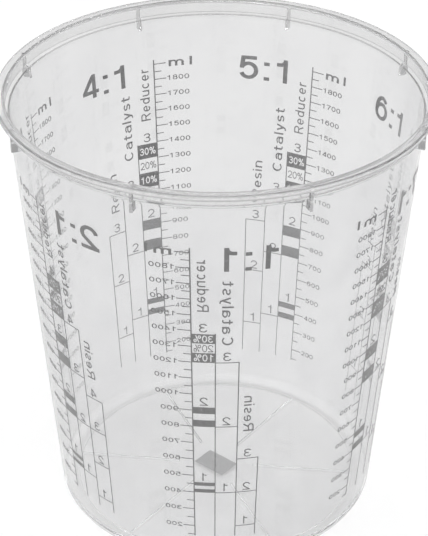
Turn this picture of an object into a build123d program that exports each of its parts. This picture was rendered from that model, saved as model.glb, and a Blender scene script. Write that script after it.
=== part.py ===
from build123d import *
import math
import os

# A clear mixing cup moulded in one piece, with seven printed mixing-ratio scales on its wall.
# The origin is the centre of the standing face, +Z runs up the cup's axis.
# Angles round the cup count from -Y, anticlockwise seen from above.

# Wall
cup_height = 168.0
base_radius = 60.2            # outer face of the wall, carried down to the table
wall_angle = 4.86             # lean of the wall from upright, degrees
wall = 1.0

# Floor and standing ring
floor_thickness = 1.2
foot_height = 1.2
foot_width = 2.2
corner_outer_radius = 4.0
corner_inner_radius = 3.0

# Stiffening ribs moulded under the floor
floor_rib_count = 6
floor_rib_width = 0.9
floor_rib_clearance = 0.3     # ribs stop this far above the table
floor_rib_turn = 22.5         # degrees
hub_radius = 15.0
hub_width = 1.0

# Ledge, collar and bead at the mouth
collar_height = 5.7
ledge_width = 1.7
ledge_rise = 0.7
bead_height = 2.0
bead_width = 2.6              # from the collar's outer face to the bead's lower edge
bead_draft = 0.4
bead_bevel = 0.3

# Stacking gussets under the bead
gusset_count = 8
gusset_thickness = 1.2
gusset_width = 0.9            # past the collar's outer face
gusset_height = 8.1           # from a gusset's foot up to the bead
gusset_turn = 22.5            # degrees

# Printed scales
ink = 0.05
ink_gap = 0.03
column_angle = 6.8            # degrees that one printed column spans
column_count = 3
axis_line = 0.45
column_line = 0.38
tick_line = 0.34
long_tick_angle = 3.9         # degrees
short_tick_angle = 2.4        # degrees
axis_overrun = 1.8            # the axis line passes its top tick by this much
column_overrun = 0.6          # the column lines pass the lowest tick by this much
top_volume = 1900             # millilitres
bottom_volume = 150           # millilitres
long_tick_volume = 100        # millilitres
short_tick_volume = 50        # millilitres
bar_share = 0.10              # each thinning bar is a tenth of the first component
millilitre_edge = 10.0        # edge of a cube that holds one millilitre

# Each scale: parts of the first component to one of the second, the volumes where the
# first column is stepped in millilitres, and the angle of its axis line in degrees
scales = {
    "print_1_to_1": (1, (200, 400, 600), -8.2),
    "print_2_to_1": (2, (200, 400, 600, 800), -59.5),
    "print_3_to_1": (3, (300, 600, 900), -109.1),
    "print_4_to_1": (4, (300, 600, 900), -161.2),
    "print_5_to_1": (5, (300, 600, 900), -212.0),
    "print_6_to_1": (6, (300, 600, 900), -262.0),
    "print_7_to_1": (7, (350, 700, 1050), -308.3),
}

# Plain printed patch under the middle of the floor
patch_length = 14.0
patch_width = 9.5
patch_turn = -41.0            # degrees

# Sizes that follow from the ones above
slope = math.tan(math.radians(wall_angle))
wall_across = wall / math.cos(math.radians(wall_angle))
floor_top = foot_height + floor_thickness
foot_outer = base_radius - corner_outer_radius
foot_inner = foot_outer - foot_width
ledge_z = cup_height - collar_height
bead_z = cup_height - bead_height
gusset_z = bead_z - gusset_height


def outer_radius(z):
    return base_radius + slope * z


def inner_radius(z):
    return outer_radius(z) - wall_across


ledge_inner = inner_radius(ledge_z)
collar_inner = ledge_inner + ledge_width
collar_outer = collar_inner + wall
bead_radius = collar_outer + bead_width
gusset_radius = collar_outer + gusset_width


def ledge_underside():
    """Lower corner where the ledge leaves the wall, and the height where it meets the collar."""
    lean = math.atan2(ledge_rise, ledge_width)
    drop = wall / math.cos(lean)
    rise = math.tan(lean)
    start = ledge_z - drop + rise * (base_radius - ledge_inner)
    corner_z = start / (1 - rise * slope)
    collar_z = ledge_z - drop + rise * (collar_outer - ledge_inner)
    return (outer_radius(corner_z), corner_z), (collar_outer, collar_z)


def nearest(profile, corners):
    """The profile's vertices at the given (radius, height) corners."""
    return [min(profile.vertices(), key=lambda v: math.dist((v.X, v.Z), c)) for c in corners]


def revolved_face(points):
    """A closed outline of (radius, height) points in the XZ plane."""
    return make_face(Polyline([(r, 0, z) for r, z in points], close=True))


def make_shell():
    """Floor, standing ring, tapered wall, ledge, collar and bead in one turned profile."""
    ledge_low, ledge_high = ledge_underside()
    table_corner = (base_radius, 0)
    floor_corner = (inner_radius(floor_top), floor_top)
    bead_low = (bead_radius, bead_z)
    bead_top = (bead_radius - bead_draft, cup_height)
    mouth = (collar_inner, cup_height)
    profile = revolved_face([
        (0, foot_height),
        (foot_inner, foot_height),
        (foot_inner, 0),
        table_corner,
        ledge_low,
        ledge_high,
        (collar_outer, bead_z),
        bead_low,
        bead_top,
        mouth,
        (collar_inner, ledge_z + ledge_rise),
        (ledge_inner, ledge_z),
        floor_corner,
        (0, floor_top),
    ])
    profile = fillet(nearest(profile, [table_corner]), corner_outer_radius)
    profile = fillet(nearest(profile, [floor_corner]), corner_inner_radius)
    profile = chamfer(nearest(profile, [bead_low, bead_top, mouth]), bead_bevel)
    return revolve(profile, Axis.Z)


def make_gusset():
    """One upright plate that fills the corner between the wall, the ledge and the bead."""
    ledge_low, ledge_high = ledge_underside()
    bite = wall / 2
    outline = revolved_face([
        (outer_radius(gusset_z) - bite, gusset_z),
        (gusset_radius, gusset_z),
        (gusset_radius, bead_z),
        (collar_outer - bite, bead_z),
        (collar_outer - bite, ledge_high[1] + bite),
        (ledge_low[0] - bite, ledge_low[1] + bite),
    ])
    return extrude(outline, gusset_thickness / 2, both=True)


def make_floor_ribs():
    """Spokes and a hub ring that hang from the floor inside the standing ring."""
    bite = floor_thickness / 2
    depth = foot_height - floor_rib_clearance + bite
    low = Plane.XY.offset(floor_rib_clearance)
    hub = extrude(low * (Circle(hub_radius) - Circle(hub_radius - hub_width)), depth)
    start = hub_radius - hub_width / 2
    length = foot_inner + bite - start
    spoke = extrude(low * Pos(start + length / 2, 0) * Rectangle(length, floor_rib_width), depth)
    first = around(floor_rib_turn)
    spokes = [Rot(0, 0, first + 360 * i / floor_rib_count) * spoke for i in range(floor_rib_count)]
    return [hub] + spokes


def around(angle):
    """Turns an angle that counts from -Y into one that counts from +X."""
    return angle - 90


def make_cup():
    gusset = make_gusset()
    first = around(gusset_turn)
    gussets = [Rot(0, 0, first + 360 * i / gusset_count) * gusset for i in range(gusset_count)]
    return make_shell() + gussets + make_floor_ribs()


def height_of(volume):
    """Height on the wall that a poured volume in millilitres comes to."""
    floor_radius = inner_radius(floor_top)
    filled = 3 * slope * volume * millilitre_edge**3 / math.pi
    return floor_top + ((floor_radius**3 + filled) ** (1 / 3) - floor_radius) / slope


def film(angle_from, angle_to, z_from, z_to):
    """A patch of ink on the wall between two angles and two heights."""
    near = outer_radius(z_from) + ink_gap
    far = outer_radius(z_to) + ink_gap
    strip = revolved_face([(near, z_from), (near + ink, z_from), (far + ink, z_to), (far, z_to)])
    return Rot(0, 0, around(angle_from)) * revolve(strip, Axis.Z, angle_to - angle_from)


def degrees_of(length):
    """Angle that a short length spans half way up the wall."""
    return math.degrees(length / outer_radius(cup_height / 2))


def make_ladder(axis_angle):
    """The axis line with a tick for every fifty millilitres."""
    half_axis = degrees_of(axis_line) / 2
    half_tick = tick_line / 2
    bottom = height_of(bottom_volume) - column_overrun
    pieces = [film(axis_angle - half_axis, axis_angle + half_axis,
                   bottom, height_of(top_volume) + axis_overrun)]
    for volume in range(bottom_volume, top_volume + short_tick_volume, short_tick_volume):
        reach = short_tick_angle if volume % long_tick_volume else long_tick_angle
        z = height_of(volume)
        pieces.append(film(axis_angle - reach, axis_angle, z - half_tick, z + half_tick))
    return pieces


def make_columns(parts, steps, axis_angle):
    """Three columns with a line or a pair of bars at each step."""
    bottom = height_of(bottom_volume) - column_overrun
    half_line = degrees_of(column_line) / 2
    half_tick = tick_line / 2
    totals = [step * (1 + 1 / parts) for step in steps]
    tops = [totals[-1] + 3 * bar_share * steps[-1], totals[-1], steps[-1]]
    pieces = []
    for column, top in zip(range(1, column_count + 1), tops):
        side = axis_angle + column * column_angle
        pieces.append(film(side - half_line, side + half_line, bottom, height_of(top) + half_tick))
    for column, levels in ((1, totals), (2, steps)):
        near = axis_angle + column * column_angle
        for level in levels:
            z = height_of(level)
            pieces.append(film(near, near + column_angle, z - half_tick, z + half_tick))
    for step, total in zip(steps, totals):
        for bar in (0, 2):
            low = height_of(total + bar * bar_share * step)
            high = height_of(total + (bar + 1) * bar_share * step)
            pieces.append(film(axis_angle, axis_angle + column_angle, low, high))
    return pieces


def make_print(parts, steps, axis_angle):
    pieces = make_ladder(axis_angle) + make_columns(parts, steps, axis_angle)
    return pieces[0] + pieces[1:]


def make_patch():
    """A plain rectangle of ink under the middle of the floor."""
    low = Plane.XY.offset(foot_height - ink_gap - ink)
    return extrude(low * Rot(0, 0, patch_turn) * Rectangle(patch_length, patch_width), ink)


os.makedirs("parts", exist_ok=True)
export_step(make_cup(), "parts/cup_body.step")
for name, scale in scales.items():
    export_step(make_print(*scale), f"parts/{name}.step")
export_step(make_patch(), "parts/print_base_patch.step")
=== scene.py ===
import bpy
import math
from mathutils import Matrix, Vector


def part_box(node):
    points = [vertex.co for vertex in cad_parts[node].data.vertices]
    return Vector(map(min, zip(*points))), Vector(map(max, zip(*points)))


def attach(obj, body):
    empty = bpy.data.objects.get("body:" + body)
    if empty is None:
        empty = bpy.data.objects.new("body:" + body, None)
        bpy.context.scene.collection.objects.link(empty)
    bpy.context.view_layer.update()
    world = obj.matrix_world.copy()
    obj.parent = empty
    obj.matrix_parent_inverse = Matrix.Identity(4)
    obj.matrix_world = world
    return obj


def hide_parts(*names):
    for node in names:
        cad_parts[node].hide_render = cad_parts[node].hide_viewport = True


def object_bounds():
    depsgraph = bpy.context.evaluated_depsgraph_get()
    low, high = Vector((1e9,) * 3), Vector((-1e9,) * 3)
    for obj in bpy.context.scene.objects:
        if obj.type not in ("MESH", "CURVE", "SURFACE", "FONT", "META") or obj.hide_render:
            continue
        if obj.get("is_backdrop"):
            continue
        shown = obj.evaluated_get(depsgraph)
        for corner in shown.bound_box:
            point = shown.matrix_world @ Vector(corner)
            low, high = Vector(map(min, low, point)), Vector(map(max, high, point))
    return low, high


# A clear mixing cup with seven grey scales printed round the outside of its wall.
# Metres, +Z up, with the origin at the centre of the standing face.
# Angles round the cup count from -Y, anticlockwise seen from above.

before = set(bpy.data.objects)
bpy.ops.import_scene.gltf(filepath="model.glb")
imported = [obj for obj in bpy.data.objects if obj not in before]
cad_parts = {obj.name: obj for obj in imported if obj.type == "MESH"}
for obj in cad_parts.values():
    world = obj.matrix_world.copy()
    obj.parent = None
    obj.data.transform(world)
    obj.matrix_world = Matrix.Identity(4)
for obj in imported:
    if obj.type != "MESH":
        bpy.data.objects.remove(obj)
cad_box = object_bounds()

MM = 0.001

# Wall, floor and standing ring
cup_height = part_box("cup_body")[1].z
base_radius = 60.2 * MM
wall_angle = math.radians(4.86)
slope = math.tan(wall_angle)
wall = 1.0 * MM
wall_across = wall / math.cos(wall_angle)
foot_height = 1.2 * MM
floor_top = 2.4 * MM
foot_inner = 54.0 * MM
corner_outer_radius = 4.0 * MM
corner_inner_radius = 3.0 * MM
foot_round = 0.15 * MM
hold = 0.4 * MM               # from a rounding to the edge that holds the long face next to it

# Ledge, collar and bead at the mouth
ledge_z = cup_height - 5.7 * MM
ledge_width = 1.7 * MM
ledge_rise = 0.7 * MM
bead_z = cup_height - 2.0 * MM
bead_width = 2.58 * MM        # a hair inside the solid
bead_draft = 0.4 * MM
bead_round = 0.35 * MM
inner_round = 0.3 * MM

# Gussets under the bead, and ribs under the floor
gusset_count = 8
gusset_thickness = 1.2 * MM
gusset_width = 0.9 * MM
gusset_height = 8.1 * MM
gusset_round = 0.25 * MM
rib_count = 6
rib_width = 0.9 * MM
rib_clearance = 0.3 * MM
rib_round = 0.4 * MM
hub_radius = 15.0 * MM
hub_width = 1.0 * MM
first_turn = 22.5             # degrees to the first gusset and the first rib

# Printed scales. Widths round the cup are in degrees, because every column keeps its angle.
ink = 0.05 * MM
ink_gap = 0.03 * MM
ink_step = 1.0                # degrees round the cup from cut to cut
arc_step = 15.0               # degrees round a curved stroke
column_angle = 6.8
axis_line = 0.45 * MM
column_line = 0.38 * MM
tick_line = 0.34 * MM
long_tick_angle = 3.9
short_tick_angle = 2.4
axis_overrun = 1.8 * MM
column_overrun = 0.6 * MM
top_volume = 1900             # millilitres
bottom_volume = 150
long_tick_volume = 100
short_tick_volume = 50
bar_share = 0.10              # each thinning bar is a tenth of the first component
millilitre = 1e-6             # cubic metres

# Lettering. Starts and angles are in degrees round the cup, pens and gaps are shares of the
# height of a figure.
figure_start = 4.25
figure_height = 2.0 * MM
figure_angles = {3: 5.6, 4: 7.0}
figure_pen = 0.14
figure_gap = 0.13
unit_start = 4.8
unit_angle = 7.4
unit_height = 3.5 * MM
unit_base = 141.8 * MM
unit_pen = 0.16
unit_gap = 0.36
numeral_height = 3.7 * MM
numeral_angle = 2.4
numeral_lift = 0.8 * MM       # above its step's line
numeral_pen = 0.115
share_angle = 5.6
share_height = 3.1 * MM
share_pen = 0.11
clear_share_pen = 0.15        # wider where the figures are left clear in a dark bar
share_gap = 0.1
title_base = 136.0 * MM
title_height = 9.6 * MM
title_pen = 0.15
title_gap = 0.19
one_before = 0.06             # extra room on either side of a 1
one_after = 0.22
word_across = 3.2
word_pen = 0.12
word_gap = 0.17
words = (("Reducer", 21.6 * MM), ("Catalyst", 27.0 * MM), ("Resin", 16.1 * MM))

# Each scale: parts, steps of the first component in millilitres, angle of its axis line,
# start and width of its title in degrees, and how far its three words stand above their
# columns in millimetres
usual_lifts = (9.5, 9.7, 9.9)
scales = {
    "1_to_1": (1, (200, 400, 600), -8.2, 9.0, 14.4, (9.6, 7.7, 12.9)),
    "2_to_1": (2, (200, 400, 600, 800), -59.5, 9.8, 15.6, (9.0, 7.5, 9.4)),
    "3_to_1": (3, (300, 600, 900), -109.1, 9.0, 15.6, usual_lifts),
    "4_to_1": (4, (300, 600, 900), -161.2, 9.8, 15.8, (9.9, 13.3, 9.5)),
    "5_to_1": (5, (300, 600, 900), -212.0, 8.4, 15.6, (8.9, 9.7, 9.9)),
    "6_to_1": (6, (300, 600, 900), -262.0, 8.7, 15.5, usual_lifts),
    "7_to_1": (7, (350, 700, 1050), -308.3, 8.0, 15.9, usual_lifts),
}

# Plain printed patch under the middle of the floor
patch_length = 14.0 * MM
patch_width = 9.5 * MM
patch_turn = -41              # degrees

# Sizes of the marks in the plastic and the ink, and the reach of the painted edge shade
cloud_size = 30 * MM
flow_size = 4 * MM
skin_depth = 0.0015 * MM
cover_size = 1.5 * MM
pinhole_size = 0.3 * MM
edge_shade_reach = 0.4 * MM            # reach of a line of painted shade along an edge

# White ground: how bright the surround lights, what lifts the paper to white, and how much
# of that white the plastic shows
surround_light = 0.65
paper_lift = 0.4
behind_share = 0.55

turn_steps = 288              # faces round the cup
mid_radius = base_radius + slope * cup_height / 2


def outer_radius(z):
    return base_radius + slope * z


def inner_radius(z):
    return outer_radius(z) - wall_across


def across(degrees):
    """Length on the unrolled wall that an angle round the cup spans."""
    return math.radians(degrees) * mid_radius


def height_of(volume):
    """Height that a poured volume in millilitres comes to on the tapered wall."""
    floor_radius = inner_radius(floor_top)
    filled = 3 * slope * volume * millilitre / math.pi
    return floor_top + ((floor_radius**3 + filled) ** (1 / 3) - floor_radius) / slope


ledge_inner = inner_radius(ledge_z)
collar_inner = ledge_inner + ledge_width
collar_outer = collar_inner + wall
bead_radius = collar_outer + bead_width
gusset_z = bead_z - gusset_height
gusset_radius = collar_outer + gusset_width


def start_editing(piece):
    bpy.ops.object.mode_set(mode="OBJECT")
    bpy.ops.object.select_all(action="DESELECT")
    piece.select_set(True)
    bpy.context.view_layer.objects.active = piece
    bpy.ops.object.mode_set(mode="EDIT")
    bpy.ops.mesh.select_all(action="SELECT")


def stop_editing(piece):
    bpy.ops.object.mode_set(mode="OBJECT")
    bpy.ops.object.select_all(action="DESELECT")
    piece.select_set(True)
    bpy.context.view_layer.objects.active = piece
    bpy.ops.object.transform_apply(location=True, rotation=True, scale=True)
    return piece


def deselect():
    if bpy.context.object and bpy.context.object.mode != "OBJECT":
        bpy.ops.object.mode_set(mode="OBJECT")
    bpy.ops.object.select_all(action="DESELECT")


def chain(name, points):
    """Edges drawn through (radius, height) points in the XZ plane."""
    deselect()
    r, z = points[0]
    bpy.ops.mesh.primitive_plane_add(size=wall, location=(r, 0, z))
    piece = bpy.context.object
    piece.name = name
    start_editing(piece)
    bpy.ops.mesh.merge(type="CENTER")
    for (r0, z0), (r1, z1) in zip(points, points[1:]):
        step = {"value": (r1 - r0, 0, z1 - z0)}
        bpy.ops.mesh.extrude_region_move(TRANSFORM_OT_translate=step)
    return stop_editing(piece)


def select_near(piece, places, reach=1e-6):
    """Selects a piece's vertices that lie at the given places."""
    bpy.ops.mesh.select_mode(type="VERT")
    bpy.ops.mesh.select_all(action="DESELECT")
    bpy.ops.object.mode_set(mode="OBJECT")
    for vertex in piece.data.vertices:
        vertex.select = any((vertex.co - Vector(p)).length < reach for p in places)
    bpy.ops.object.mode_set(mode="EDIT")


def round_corners(piece, points, rounds, segments=6):
    """Rounds corners of a chain, each with its own radius."""
    start_editing(piece)
    for i, radius in rounds.items():
        before, corner, after = (Vector((points[k][0], 0, points[k][1])) for k in (i - 1, i, i + 1))
        angle = (before - corner).angle(after - corner)
        select_near(piece, [corner])
        bpy.ops.mesh.bevel(offset=radius / math.tan(angle / 2), segments=segments,
                           affect="VERTICES", clamp_overlap=False)
    return stop_editing(piece)


def tidy_mesh():
    """Closes seams and poles and turns every face outwards, in edit mode."""
    bpy.ops.mesh.select_all(action="SELECT")
    bpy.ops.mesh.remove_doubles(threshold=1e-6)
    bpy.ops.mesh.normals_make_consistent(inside=False)


def ledge_underside():
    """Lower corner where the ledge leaves the wall, and the height where it meets the collar."""
    lean = math.atan2(ledge_rise, ledge_width)
    drop = wall / math.cos(lean)
    rise = math.tan(lean)
    start = ledge_z - drop + rise * (base_radius - ledge_inner)
    corner_z = start / (1 - rise * slope)
    collar_z = ledge_z - drop + rise * (collar_outer - ledge_inner)
    return (outer_radius(corner_z), corner_z), (collar_outer, collar_z)


def make_shell():
    """Floor, standing ring, tapered wall, ledge, collar and bead, spun from one profile."""
    ledge_low, ledge_high = ledge_underside()
    low_z = corner_outer_radius + hold
    ring_z = gusset_z - wall
    high_z = ledge_low[1] - wall - hold
    # Corners with the radius that rounds each; the ones without hold the long faces true
    # next to a rounded corner or a gusset
    corners = [
        ((0, foot_height), 0),
        ((foot_inner, foot_height), 0),
        ((foot_inner, 0), foot_round),
        ((base_radius, 0), corner_outer_radius),
        ((outer_radius(low_z), low_z), 0),
        ((outer_radius(ring_z), ring_z), 0),
        ((outer_radius(high_z), high_z), 0),
        (ledge_low, inner_round),
        (ledge_high, inner_round),
        ((collar_outer, bead_z), 0),
        ((bead_radius, bead_z), bead_round),
        ((bead_radius - bead_draft, cup_height), bead_round),
        ((collar_inner, cup_height), bead_round),
        ((collar_inner, ledge_z + ledge_rise), inner_round),
        ((ledge_inner, ledge_z), inner_round),
        ((inner_radius(high_z), high_z), 0),
        ((inner_radius(floor_top + low_z), floor_top + low_z), 0),
        ((inner_radius(floor_top), floor_top), corner_inner_radius),
        ((inner_radius(floor_top) - low_z, floor_top), 0),
        ((0, floor_top), 0),
    ]
    points = [point for point, radius in corners]
    rounds = {i: radius for i, (point, radius) in enumerate(corners) if radius}
    shell = chain("cup_shell", points)
    round_corners(shell, points, rounds)
    start_editing(shell)
    bpy.ops.mesh.spin(steps=turn_steps, angle=2 * math.pi, center=(0, 0, 0), axis=(0, 0, 1))
    tidy_mesh()
    return stop_editing(shell)


def bevel_edges(width, segments=2):
    """Rounds every sharp edge of what is being edited."""
    bpy.ops.mesh.select_all(action="DESELECT")
    bpy.ops.mesh.select_mode(type="EDGE")
    bpy.ops.mesh.edges_select_sharp(sharpness=math.radians(30))
    bpy.ops.mesh.bevel(offset=width, segments=segments, affect="EDGES")


def copies_round(piece, count):
    """Turned copies of a piece that stands on the XZ plane, evenly round the cup."""
    first = first_turn - 90
    for i in range(1, count):
        copy = copy_of(piece)
        copy.data.transform(Matrix.Rotation(math.radians(first + 360 * i / count), 4, "Z"))
        yield copy
    piece.data.transform(Matrix.Rotation(math.radians(first), 4, "Z"))
    yield piece


def make_gusset():
    """One upright plate that fills the corner between the wall, the ledge and the bead."""
    ledge_low, ledge_high = ledge_underside()
    bite = wall / 2
    points = [
        (outer_radius(gusset_z) - bite, gusset_z),
        (gusset_radius, gusset_z),
        (gusset_radius, bead_z + bite),
        (collar_outer - bite, bead_z + bite),
        (collar_outer - bite, ledge_high[1] + bite),
        (ledge_low[0] - bite, ledge_low[1] + bite),
    ]
    gusset = chain("gusset", points)
    gusset.data.transform(Matrix.Translation((0, -gusset_thickness / 2, 0)))
    start_editing(gusset)
    bpy.ops.mesh.edge_face_add()
    bpy.ops.mesh.extrude_region_move(TRANSFORM_OT_translate={"value": (0, gusset_thickness, 0)})
    tidy_mesh()
    bevel_edges(gusset_round)
    tidy_mesh()
    return stop_editing(gusset)


def make_spoke():
    """One straight rib under the floor, from the hub ring to the standing ring."""
    bite = wall / 2
    start = hub_radius - hub_width / 2
    length = foot_inner + bite - start
    depth = foot_height - rib_clearance + bite
    deselect()
    bpy.ops.mesh.primitive_cube_add(size=1)
    spoke = bpy.context.object
    start_editing(spoke)
    bpy.ops.transform.resize(value=(length, rib_width, depth), center_override=(0, 0, 0))
    bpy.ops.transform.translate(value=(start + length / 2, 0, rib_clearance + depth / 2))
    bevel_edges(rib_round, segments=4)
    tidy_mesh()
    return stop_editing(spoke)


def make_hub():
    """The ring rib round the middle of the floor's underside."""
    bite = wall / 2
    top = foot_height + bite
    points = [
        (hub_radius, top),
        (hub_radius, rib_clearance),
        (hub_radius - hub_width, rib_clearance),
        (hub_radius - hub_width, top),
        (hub_radius, top),
    ]
    hub = chain("hub", points)
    round_corners(hub, points, {1: rib_round, 2: rib_round}, segments=4)
    start_editing(hub)
    bpy.ops.mesh.spin(steps=turn_steps // 3, angle=2 * math.pi, center=(0, 0, 0), axis=(0, 0, 1))
    tidy_mesh()
    return stop_editing(hub)


def fuse(target, pieces, way="UNION"):
    """Makes one skin of the target and the pieces, or cuts them out of it."""
    for piece in pieces:
        deselect()
        bpy.context.view_layer.objects.active = target
        union = target.modifiers.new("union", "BOOLEAN")
        union.operation = way
        union.solver = "EXACT"
        union.object = piece
        bpy.ops.object.modifier_apply(modifier=union.name)
        bpy.data.objects.remove(piece)
    return target


def join(name, pieces):
    deselect()
    for piece in pieces:
        piece.select_set(True)
    bpy.context.view_layer.objects.active = pieces[0]
    bpy.ops.object.join()
    pieces[0].name = name
    return pieces[0]


def make_cup():
    shell = make_shell()
    gussets = join("gussets", list(copies_round(make_gusset(), gusset_count)))
    spokes = join("spokes", list(copies_round(make_spoke(), rib_count)))
    hub = make_hub()
    cup = fuse(shell, [gussets, hub, spokes])
    start_editing(cup)
    tidy_mesh()
    stop_editing(cup)
    bpy.ops.object.shade_smooth_by_angle(angle=math.radians(28))
    return cup


def arc(x, z, rx, rz, start, end):
    """Points along part of an ellipse, with its angles in degrees."""
    steps = math.ceil(abs(end - start) / arc_step)
    turns = [math.radians(start + (end - start) * i / steps) for i in range(steps + 1)]
    return [(x + rx * math.cos(turn), z + rz * math.sin(turn)) for turn in turns]


def figures(pen):
    """Width and pen strokes of each figure and sign, in shares of the height of a figure."""
    h = pen / 2
    top, mid, w = 1 - h, 0.53, 0.66
    right, c, r = w - h, w / 2, w / 2 - h
    upper, lower = (top + mid) / 2, (mid + h) / 2
    up, down = (top - mid) / 2, (mid - h) / 2
    six = [arc(c, h + 0.29, r, 0.29, 0, 360),
           [(h, h + 0.29)] + arc(c, 0.5, r, top - 0.5, 180, 40)]
    return {
        "0": (w, [arc(c, 0.5, r, 0.5 - h, 0, 360)]),
        "1": (0.38, [[(0.38 - h, 0), (0.38 - h, 1)],
                     [(0, 0.76)] + arc(0.38 - h - 0.2, 0.96, 0.2, 0.2, -90, -8)]),
        "2": (w, [arc(c, top - 0.27, r, 0.27, 172, -32) + [(h, h)], [(0, h), (w, h)]]),
        "3": (w, [arc(c, upper, r - 0.02, up, 165, -90) + [(c - 0.1, mid)],
                  [(c - 0.1, mid)] + arc(c, lower, r, down, 90, -165)]),
        "4": (w, [[(0.48, 0), (0.48, 1)], [(0, 0.26), (w, 0.26)],
                  [(0.48 - h / 2, top), (h * 0.8, 0.28)]]),
        "5": (w, [[(w - 0.06, top), (0.15, top), (0.1, 0.47)],
                  arc(c, h + 0.3, r, 0.3, 148, -160)]),
        "6": (w, six),
        "7": (w, [[(0, top), (w, top)], [(right, top), (0.36, 0.42), (0.25, 0)]]),
        "8": (w, [arc(c, upper, r - 0.03, up, 0, 360), arc(c, lower, r, down, 0, 360)]),
        "9": (w, [[(w - x, 1 - z) for x, z in path] for path in six]),
        ":": (0.19, [[(0, h), (0.19, h)], [(0, 0.71), (0.19, 0.71)]]),
        "%": (0.98, [arc(0.22, 0.75, 0.22 - h, 0.25 - h, 0, 360), [(0.28, 0), (0.7, 1)],
                     arc(0.76, 0.25, 0.22 - h, 0.25 - h, 0, 360)]),
    }


def letters(pen):
    """Width and pen strokes of the letters that the words need, in the same shares."""
    h = pen / 2
    top, x_height, w, n, m = 1 - h, 0.72, 0.7, 0.56, 0.98
    right, c, r = n - h, n / 2, n / 2 - h
    x_top, x_mid = x_height - h, x_height / 2
    bow, knee = 0.22, 0.19
    stem = [(h, 0), (h, x_height)]

    def arch(start, end):
        return arc((start + end) / 2, x_top - bow, (end - start) / 2, bow, 180, 0) + [(end, 0)]

    quarter = (x_top - x_mid) / 2
    return {
        "a": (n, [arc(c, x_top - knee, r - 0.01, knee, 165, 0) + [(right, 0)],
                  arc(c, h + knee, r, knee, 0, 360)]),
        "c": (n, [arc(c, x_mid, r, x_mid - h, 48, 312)]),
        "d": (n, [arc(c, x_mid, r, x_mid - h, 0, 360), [(right, 0), (right, 1)]]),
        "e": (n, [arc(c, x_mid, r, x_mid - h, 0, 318), [(h, x_mid), (right, x_mid)]]),
        "i": (pen, [stem, [(h, 1 - pen), (h, 1)]]),
        "l": (pen, [[(h, 0), (h, 1)]]),
        "m": (m, [stem, arch(h, m / 2), arch(m / 2, m - h)]),
        "n": (n, [stem, arch(h, right)]),
        "r": (0.36, [stem, arc(0.36, x_top - bow, 0.36 - h, bow, 180, 95)]),
        "s": (0.48, [arc(0.24, x_top - quarter, 0.24 - h, quarter, 25, 270)
                     + arc(0.24, x_mid - quarter, 0.24 - h, quarter, 90, -160)[1:]]),
        "t": (0.36, [[(0.15, 0.92), (0.15, h + 0.12)] + arc(0.27, h + 0.12, 0.12, 0.12, 180, 270)
                     + [(0.36, h)], [(0, x_top), (0.36, x_top)]]),
        "u": (n, [[(right, 0), (right, x_height)],
                  [(h, x_height)] + arc(c, h + bow, r, bow, 180, 360)]),
        "y": (0.52, [[(h, x_height), (0.27, 0.04)],
                     [(0.52 - h, x_height), (0.22, -0.14), (0.04, -0.2)]]),
        "C": (w, [arc(w / 2, 0.5, w / 2 - h, 0.5 - h, 42, 318)]),
        "R": (w, [[(h, 0), (h, 1)], [(h, top)] + arc(0.4, (top + 0.5) / 2, w - h - 0.42,
                                                    (top - 0.5) / 2, 90, -90) + [(h, 0.5)],
                  [(0.38, 0.5), (w - h, 0)]]),
    }


def stroke(path, pen):
    """One stroke of the pen along a path of (x, z) points, one unit deep."""
    closed = math.dist(path[0], path[-1]) < 1e-6
    points = [Vector(p) for p in (path[:-1] if closed else path)]
    count = len(points)
    spans = count if closed else count - 1
    normals = [(points[(i + 1) % count] - points[i]).normalized().orthogonal() for i in range(spans)]
    corners = []
    for i, point in enumerate(points):
        before = normals[i - 1] if closed or i else normals[0]
        after = normals[i] if i < spans else normals[-1]
        mitre = (before + after) * (pen / 2) / (1 + before.dot(after))
        for side in (point + mitre, point - mitre):
            corners.append((side.x, 0, side.y))
    faces = [(2 * i, 2 * i + 1, (2 * i + 3) % (2 * count), (2 * i + 2) % (2 * count))
             for i in range(spans)]
    mesh = bpy.data.meshes.new("stroke")
    mesh.from_pydata(corners, [], faces)
    piece = bpy.data.objects.new("stroke", mesh)
    bpy.context.collection.objects.link(piece)
    start_editing(piece)
    bpy.ops.mesh.extrude_region_move(TRANSFORM_OT_translate={"value": (0, 1, 0)})
    tidy_mesh()
    return stop_editing(piece)


def copy_of(piece):
    copy = piece.copy()
    copy.data = piece.data.copy()
    bpy.context.collection.objects.link(copy)
    return copy


characters = {}


def character(sign, pen):
    """Width and solid of one character, modelled once for each width of pen."""
    if (sign, pen) not in characters:
        width, paths = {**figures(pen), **letters(pen)}[sign]
        strokes = [stroke(path, pen) for path in paths]
        characters[sign, pen] = (width, fuse(strokes[0], strokes[1:]))
    return characters[sign, pen]


def places_of(text, pen, gap):
    """Where each character of a line starts, and where the line ends, in shares of its height."""
    starts = []
    x = 0
    for before, sign in zip(" " + text, text):
        if starts:
            x += gap + (one_after if before == "1" else 0) + (one_before if sign == "1" else 0)
        starts.append(x)
        x += character(sign, pen)[0]
    return starts, x


def write(text, left, low, length, height, pen, gap, upwards=False):
    """Sets a line of flat characters on the unrolled wall, from its left or lower end."""
    starts, end = places_of(text, pen, gap)
    stretch = length / end
    size = Matrix.Diagonal((stretch, ink, height, 1))
    turn = Matrix.Rotation(math.radians(-90 if upwards else 0), 4, "Y")
    place = Matrix.Translation((left, 0, low)) @ turn @ size
    pieces = []
    for sign, x in zip(text, starts):
        piece = copy_of(character(sign, pen)[1])
        piece.data.transform(place @ Matrix.Translation((x, 0, 0)))
        pieces.append(piece)
    return pieces


def bar(left, right, low, high):
    """A flat bar of ink between two angles, counted to the right, and two heights."""
    deselect()
    middle = ((across(left) + across(right)) / 2, ink / 2, (low + high) / 2)
    bpy.ops.mesh.primitive_cube_add(size=1, location=middle)
    piece = bpy.context.object
    piece.scale = (across(right) - across(left), ink, high - low)
    return stop_editing(piece)


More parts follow.
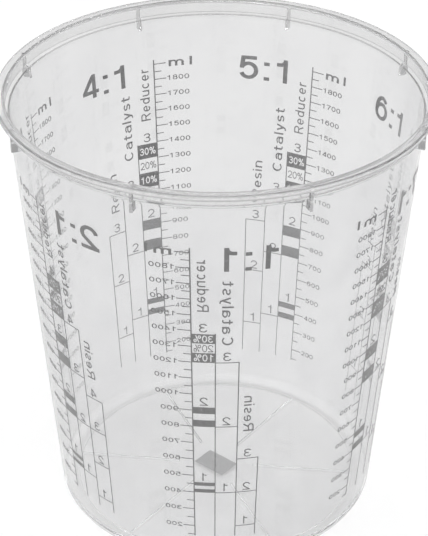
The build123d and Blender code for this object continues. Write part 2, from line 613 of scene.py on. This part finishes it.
def make_ladder():
    """The axis line, a tick for every fifty millilitres and its figures."""
    half_axis = axis_line / 2 / across(1)
    half_tick = tick_line / 2
    bottom = height_of(bottom_volume) - column_overrun
    axis = bar(-half_axis, half_axis, bottom, height_of(top_volume) + axis_overrun)
    ticks, numbers = [], []
    for volume in range(bottom_volume, top_volume + short_tick_volume, short_tick_volume):
        z = height_of(volume)
        long = volume % long_tick_volume == 0
        reach = long_tick_angle if long else short_tick_angle
        ticks.append(bar(0, reach, z - half_tick, z + half_tick))
        if long and volume < top_volume:
            length = across(figure_angles[len(str(volume))])
            numbers += write(str(volume), across(figure_start), z - figure_height / 2, length,
                             figure_height, figure_pen, figure_gap)
    unit = write("ml", across(unit_start), unit_base, across(unit_angle), unit_height,
                 unit_pen, unit_gap)
    return join("ladder", [fuse(axis, ticks)] + numbers + unit)


def make_blocks(step, total, labelled):
    """The two dark thinning bars of one step, with their shares left clear in the top one."""
    pieces = []
    for k in range(3):
        low = height_of(total + k * bar_share * step)
        high = height_of(total + (k + 1) * bar_share * step)
        block = bar(-column_angle, 0, low, high) if k != 1 else None
        if labelled:
            length = across(share_angle)
            label = write(f"{k + 1}0%", across(-column_angle / 2) - length / 2,
                          (low + high - share_height) / 2, length, share_height,
                          clear_share_pen if block else share_pen, share_gap)
            if block:
                cut_through(block, label)
            else:
                pieces += label
        if block:
            pieces.append(block)
    return pieces


def cut_through(block, cutters):
    """Leaves the shapes of the cutters clear in a flat block."""
    for cutter in cutters:
        cutter.data.transform(Matrix.Translation((0, -ink, 0)) @ Matrix.Diagonal((1, 3, 1, 1)))
    fuse(block, cutters, "DIFFERENCE")


def make_columns(parts, steps):
    """Three columns with a line or a pair of bars at each step, their numbers and words."""
    bottom = height_of(bottom_volume) - column_overrun
    half_line = column_line / 2 / across(1)
    half_tick = tick_line / 2
    totals = [step * (1 + 1 / parts) for step in steps]
    full = [total + 3 * bar_share * step for step, total in zip(steps, totals)]
    lines, marks = [], []
    for column, top in enumerate((full[-1], totals[-1], steps[-1]), start=1):
        side = -column * column_angle
        lines.append(bar(side - half_line, side + half_line, bottom, height_of(top) + half_tick))
    for column, levels in ((1, totals), (2, steps)):
        near = -column * column_angle
        for level in levels:
            z = height_of(level)
            lines.append(bar(near - column_angle, near, z - half_tick, z + half_tick))
    for column, levels in enumerate((full, totals, steps)):
        for number, level in enumerate(levels, start=1):
            stretch = across(numeral_angle) / character("0", numeral_pen)[0]
            length = stretch * character(str(number), numeral_pen)[0]
            marks += write(str(number), across(-(column + 0.5) * column_angle) - length / 2,
                           height_of(level) + numeral_lift, length, numeral_height,
                           numeral_pen, 0)
    for step, total in zip(steps, totals):
        marks += make_blocks(step, total, step == steps[-1])
    return [fuse(lines[0], lines[1:])] + marks


def make_scale(name, ladder):
    parts, steps, axis_angle, title_start, title_angle, lifts = scales[name]
    tops = (steps[-1] * (1 + 1 / parts + 3 * bar_share), steps[-1] * (1 + 1 / parts), steps[-1])
    pieces = [copy_of(ladder)] + make_columns(parts, steps)
    for column, ((word, length), top, lift) in enumerate(zip(words, tops, lifts)):
        base = across(word_across / 2 - (column + 0.5) * column_angle)
        pieces += write(word, base, height_of(top) + lift * MM, length, across(word_across),
                        word_pen, word_gap, upwards=True)
    pieces += write(f"{parts}:1", across(-title_start - title_angle), title_base,
                    across(title_angle), title_height, title_pen, title_gap)
    art = join("ink_" + name, pieces)
    wrap(art, axis_angle)
    return art


def wrap(art, axis_angle):
    """Cuts flat art every degree and lays it round the tapered wall."""
    xs = [v.co.x for v in art.data.vertices]
    start_editing(art)
    first = math.ceil(min(xs) / across(ink_step))
    last = math.floor(max(xs) / across(ink_step))
    for i in range(first, last + 1):
        bpy.ops.mesh.select_all(action="SELECT")
        bpy.ops.mesh.bisect(plane_co=(across(ink_step) * i, 0, 0), plane_no=(1, 0, 0))
    stop_editing(art)
    for v in art.data.vertices:
        angle = math.radians(axis_angle) - v.co.x / mid_radius
        radius = outer_radius(v.co.z) + ink_gap + v.co.y
        v.co = (radius * math.sin(angle), -radius * math.cos(angle), v.co.z)


def make_patch():
    """The plain printed patch under the middle of the floor, at the height of its solid."""
    low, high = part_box("print_base_patch")
    deselect()
    bpy.ops.mesh.primitive_cube_add(size=1)
    patch = bpy.context.object
    patch.name = "ink_base_patch"
    patch.scale = (patch_length, patch_width, high.z - low.z)
    patch.rotation_euler = (0, 0, math.radians(patch_turn))
    patch.location = (0, 0, (low.z + high.z) / 2)
    return stop_editing(patch)


def linear(hex_colour):
    """An sRGB hex colour as the linear values that shaders use."""
    values = [int(hex_colour[i:i + 2], 16) / 255 for i in (1, 3, 5)]
    return [v / 12.92 if v <= 0.04045 else ((v + 0.055) / 1.055) ** 2.4 for v in values] + [1]


def add_node(material, kind, settings=(), inputs=(), links=()):
    """Adds a node with its settings, its socket values and its links."""
    node = material.node_tree.nodes.new("ShaderNode" + kind)
    for name, value in dict(settings).items():
        setattr(node, name, value)
    for name, value in dict(inputs).items():
        node.inputs[name].default_value = value
    for name, socket in dict(links).items():
        material.node_tree.links.new(socket, node.inputs[name])
    return node


def new_material(name):
    material = bpy.data.materials.new(name)
    material.use_nodes = True
    material.node_tree.nodes.clear()
    return material


def clear_polypropylene():
    """Clear moulded plastic: the eye sees through faintly milky walls with upright flow marks,
    to a duller rim whose fine grey edges are painted shade."""
    m = new_material("clear_moulded_polypropylene")
    coords = add_node(m, "TexCoord")
    height = add_node(m, "SeparateXYZ", links={"Vector": coords.outputs["Object"]})
    # The rim and its gussets come duller and milkier off the tool than the polished wall
    rim = add_node(m, "MapRange", inputs={
        "From Min": ledge_z - 2 * wall, "From Max": ledge_z, "To Min": 0.0, "To Max": 1.0},
        links={"Value": height.outputs["Z"]})
    # Cloudy patches, where the plastic is a little milkier and greyer
    clouds = add_node(m, "TexNoise", inputs={
        "Scale": 1 / cloud_size, "Detail": 3.0, "Roughness": 0.55},
        links={"Vector": coords.outputs["Object"]})
    cloudy = add_node(m, "MapRange", inputs={
        "From Min": 0.35, "From Max": 0.65, "To Min": 0.045, "To Max": 0.075},
        links={"Value": clouds.outputs[0]})
    # Seen on the slant, the light comes through more of the plastic, so its edges look milkier
    slant = add_node(m, "LayerWeight", inputs={"Blend": 0.5})
    thicker = add_node(m, "MapRange", inputs={
        "From Min": 0.35, "From Max": 1.0, "To Min": 1.0, "To Max": 4.0},
        links={"Value": slant.outputs["Facing"]})
    wall_haze = add_node(m, "Math", {"operation": "MULTIPLY"}, links={
        0: cloudy.outputs[0], 1: thicker.outputs[0]})
    haze = add_node(m, "Math", {"operation": "MULTIPLY_ADD", "use_clamp": True},
                    inputs={1: 0.05}, links={0: rim.outputs[0], 2: wall_haze.outputs[0]})
    # Flow marks that the melt leaves as it runs up the wall, duller and glossier by turns
    upright = add_node(m, "Mapping", inputs={"Scale": (1, 1, 0.05)},
                       links={"Vector": coords.outputs["Object"]})
    flow = add_node(m, "TexNoise", inputs={"Scale": 1 / flow_size, "Detail": 1.0},
                    links={"Vector": upright.outputs[0]})
    dull = add_node(m, "MapRange", inputs={
        "From Min": 0.4, "From Max": 0.7, "To Min": 0.001, "To Max": 0.006},
        links={"Value": flow.outputs[0]})
    finish = add_node(m, "Math", {"operation": "MULTIPLY_ADD"}, inputs={1: 0.025}, links={
        0: rim.outputs[0], 2: dull.outputs[0]})
    # A skin that isn't quite even, so that highlights and print waver a little
    skin = add_node(m, "Bump", inputs={"Strength": 1.0, "Distance": skin_depth},
                    links={"Height": flow.outputs[0]})
    # The floor and the foot of the wall are left untinted, lighter than the wall above
    floor = add_node(m, "MapRange", inputs={
        "From Min": 3 * MM, "From Max": 9 * MM, "To Min": 0.0, "To Max": 1.0},
        links={"Value": height.outputs["Z"]})
    wall_tone = add_node(m, "MixRGB", inputs={
        "Color1": linear("#FFFFFF"), "Color2": linear("#F9F9FA")}, links={"Fac": clouds.outputs[0]})
    low_tone = add_node(m, "MixRGB", inputs={"Color1": linear("#FFFFFF")}, links={
        "Fac": floor.outputs[0], "Color2": wall_tone.outputs[0]})
    rim_tone = add_node(m, "MixRGB", inputs={"Color2": linear("#FAFAFA")}, links={
        "Fac": rim.outputs[0], "Color1": low_tone.outputs[0]})
    # Painted shade: grey lines along the ledge, on both edges of the rim's top and on the bead's
    # lower edge, and grey gussets, stand in for the dark edges and dulled glints that the thick
    # clear rim refracts.
    flat = add_node(m, "VectorMath", {"operation": "MULTIPLY"}, inputs={1: (1, 1, 0)}, links={
        0: coords.outputs["Object"]})
    radius = add_node(m, "VectorMath", {"operation": "LENGTH"}, links={0: flat.outputs[0]})
    lines = add_node(m, "Math", {"operation": "COMPARE"}, inputs={1: ledge_z, 2: edge_shade_reach / 2},
                     links={0: height.outputs["Z"]})
    for r_low, r_high, z_low, z_high in (
            (collar_inner - edge_shade_reach, collar_inner + edge_shade_reach, cup_height - edge_shade_reach, cup_height),
            (bead_radius - bead_draft - edge_shade_reach, bead_radius, cup_height - edge_shade_reach, cup_height),
            (bead_radius - edge_shade_reach, bead_radius, bead_z - edge_shade_reach, bead_z + 1.5 * edge_shade_reach),
            (ledge_underside()[0][0] + MM / 5, gusset_radius, gusset_z - edge_shade_reach, ledge_z - MM),
            (collar_outer + MM / 5, gusset_radius, ledge_z - MM / 5, bead_z - MM / 5)):
        level = add_node(m, "Math", {"operation": "COMPARE"}, links={0: height.outputs["Z"]},
                         inputs={1: (z_low + z_high) / 2, 2: (z_high - z_low) / 2 + edge_shade_reach / 8})
        place = add_node(m, "Math", {"operation": "COMPARE"}, links={0: radius.outputs["Value"]},
                         inputs={1: (r_low + r_high) / 2, 2: (r_high - r_low) / 2 + edge_shade_reach / 8})
        edge = add_node(m, "Math", {"operation": "MULTIPLY"}, links={
            0: level.outputs[0], 1: place.outputs[0]})
        lines = add_node(m, "Math", {"operation": "MAXIMUM"}, links={
            0: lines.outputs[0], 1: edge.outputs[0]})
    # Painted shade: the grey tint that darkens those edge lines and the gussets
    tone = add_node(m, "MixRGB", inputs={"Color2": linear("#B0B0B0")}, links={
        "Fac": lines.outputs[0], "Color1": rim_tone.outputs[0]})
    glass = add_node(m, "BsdfPrincipled", inputs={"IOR": 1.49, "Transmission Weight": 1.0},
                     links={"Base Color": tone.outputs[0], "Roughness": finish.outputs[0],
                            "Normal": skin.outputs[0]})
    front = add_node(m, "BsdfDiffuse", inputs={"Color": linear("#E6E6E7")})
    back = add_node(m, "BsdfTranslucent", inputs={"Color": linear("#E6E6E7")})
    milk = add_node(m, "MixShader", inputs={"Fac": 0.5}, links={
        1: front.outputs[0], 2: back.outputs[0]})
    body = add_node(m, "MixShader", links={
        "Fac": haze.outputs[0], 1: glass.outputs[0], 2: milk.outputs[0]})
    # Light passes on through the thin wall to the print and the floor behind it
    path = add_node(m, "LightPath")
    clear = add_node(m, "BsdfTransparent", inputs={"Color": linear("#FFFFFF")})
    both = add_node(m, "MixShader", links={
        "Fac": path.outputs["Is Shadow Ray"], 1: body.outputs[0], 2: clear.outputs[0]})
    add_node(m, "OutputMaterial", links={"Surface": both.outputs[0]})
    return m


def printed_ink(name, thin, full, pinhole):
    """Flat printed ink: the eye sees a soft grey, uneven from the pad, with fine pinholes."""
    m = new_material(name)
    coords = add_node(m, "TexCoord")
    cover = add_node(m, "TexNoise", inputs={
        "Scale": 1 / cover_size, "Detail": 4.0, "Roughness": 0.6},
        links={"Vector": coords.outputs["Object"]})
    tone = add_node(m, "ValToRGB", links={"Fac": cover.outputs[0]})
    tone.color_ramp.elements[0].position = 0.3
    tone.color_ramp.elements[0].color = linear(full)
    tone.color_ramp.elements[1].position = 0.72
    tone.color_ramp.elements[1].color = linear(thin)
    specks = add_node(m, "TexNoise", inputs={"Scale": 1 / pinhole_size, "Detail": 1.0},
                      links={"Vector": coords.outputs["Object"]})
    bare = add_node(m, "MapRange", inputs={
        "From Min": 0.66, "From Max": 0.76, "To Min": 0.0, "To Max": 0.7},
        links={"Value": specks.outputs[0]})
    colour = add_node(m, "MixRGB", inputs={"Color2": linear(pinhole)}, links={
        "Fac": bare.outputs[0], "Color1": tone.outputs[0]})
    sheen = add_node(m, "MapRange", inputs={"To Min": 0.16, "To Max": 0.34},
                     links={"Value": cover.outputs[0]})
    grain = add_node(m, "Bump", inputs={"Strength": 1.0, "Distance": ink / 4},
                     links={"Height": cover.outputs[0]})
    film = add_node(m, "BsdfPrincipled", links={
        "Base Color": colour.outputs[0], "Roughness": sheen.outputs[0],
        "Normal": grain.outputs[0]})
    add_node(m, "OutputMaterial", links={"Surface": film.outputs[0]})
    return m


def shown_white(owner):
    """Share of the white ground's lift that a ray sees. The plastic shows only part of it,
    because the photo's cup was cut out of a greyer ground, which its walls still show."""
    path = add_node(owner, "LightPath")
    seen = add_node(owner, "Math", {"operation": "MAXIMUM"}, links={
        0: path.outputs["Is Camera Ray"], 1: path.outputs["Is Glossy Ray"]})
    return add_node(owner, "Math", {"operation": "MULTIPLY_ADD", "use_clamp": True},
                    inputs={1: behind_share - 1}, links={
                        0: path.outputs["Is Transmission Ray"], 2: seen.outputs[0]})


def studio():
    """A plain white floor, a white surround and two soft lamps."""
    bpy.ops.object.select_all(action="DESELECT")
    bpy.ops.mesh.primitive_plane_add(size=6)
    floor = bpy.context.object
    floor.name = "studio_floor"
    m = new_material("white_studio_paper")
    paper = add_node(m, "BsdfDiffuse", inputs={"Color": linear("#D4D4D4")})
    lift = add_node(m, "Math", {"operation": "MULTIPLY"}, inputs={1: paper_lift}, links={
        0: shown_white(m).outputs[0]})
    glow = add_node(m, "Emission", links={"Strength": lift.outputs[0]})
    both = add_node(m, "AddShader", links={0: paper.outputs[0], 1: glow.outputs[0]})
    add_node(m, "OutputMaterial", links={"Surface": both.outputs[0]})
    floor.data.materials.append(m)
    floor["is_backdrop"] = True

    world = bpy.data.worlds.new("white_surround")
    bpy.context.scene.world = world
    world.use_nodes = True
    world.node_tree.nodes.clear()
    level = add_node(world, "MapRange", inputs={"To Min": surround_light, "To Max": 1.0},
                     links={"Value": shown_white(world).outputs[0]})
    back = add_node(world, "Background", inputs={"Color": (1, 1, 1, 1)},
                    links={"Strength": level.outputs[0]})
    add_node(world, "OutputWorld", links={"Surface": back.outputs[0]})

    middle = Vector((0, 0, 0.08))
    for name, place, power in (
            ("key_softbox", Vector((-0.9, -1.1, 1.7)), 16.0),
            ("fill_softbox", Vector((1.3, 0.6, 1.6)), 10.0)):
        light = bpy.data.lights.new(name, "AREA")
        light.shape = "SQUARE"
        light.size = 2.0
        light.energy = power
        lamp = bpy.data.objects.new(name, light)
        lamp.location = place
        lamp.rotation_euler = (middle - place).to_track_quat("-Z", "Y").to_euler()
        bpy.context.collection.objects.link(lamp)


def set_camera():
    """The photograph's view: above the mouth and looking down into the cup."""
    focal_pixels = 1915.133       # fitted to the rim circles and ticks of the photograph
    image_width = 428
    camera = bpy.data.cameras.new("camera")
    camera.sensor_fit = "HORIZONTAL"
    camera.sensor_width = 36
    camera.lens = focal_pixels / image_width * camera.sensor_width
    camera.clip_start = 0.01
    eye = bpy.data.objects.new("camera", camera)
    turn = math.radians(-1.115)
    pitch = math.radians(32.005)
    roll = math.radians(0.15)
    place = Matrix.Translation((-12.67 * MM, -605.03 * MM, 470.81 * MM))
    eye.matrix_world = (place @ Matrix.Rotation(turn, 4, "Z")
                        @ Matrix.Rotation(math.pi / 2 - pitch, 4, "X")
                        @ Matrix.Rotation(roll, 4, "Z"))
    bpy.context.collection.objects.link(eye)
    bpy.context.scene.camera = eye
    bpy.context.scene.view_settings.view_transform = "Standard"


def light_paths():
    """Lets light run on through the many skins of the clear rim before it is dropped."""
    cycles = bpy.context.scene.cycles
    cycles.max_bounces = 40
    cycles.glossy_bounces = 32
    cycles.transmission_bounces = 40


set_camera()
light_paths()
studio()
plastic = clear_polypropylene()
ink_finish = printed_ink("grey_pad_printed_ink", "#888888", "#797979", "#B0B0B0")
patch_finish = printed_ink("grey_half_tone_ink", "#A8A8A8", "#989898", "#C4C4C4")

cup = make_cup()
cup.data.materials.clear()
cup.data.materials.append(plastic)
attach(cup, "root")
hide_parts("cup_body")

ladder = make_ladder()
prints = {name: make_scale(name, ladder) for name in scales}
bpy.data.objects.remove(ladder)
for width, solid in characters.values():
    bpy.data.objects.remove(solid)
for name, art in prints.items():
    art.data.materials.clear()
    art.data.materials.append(ink_finish)
    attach(art, "root")
    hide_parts("print_" + name)

patch = make_patch()
patch.data.materials.append(patch_finish)
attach(patch, "root")
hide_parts("print_base_patch")

[[list(corner) for corner in box] for box in (cad_box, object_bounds())]
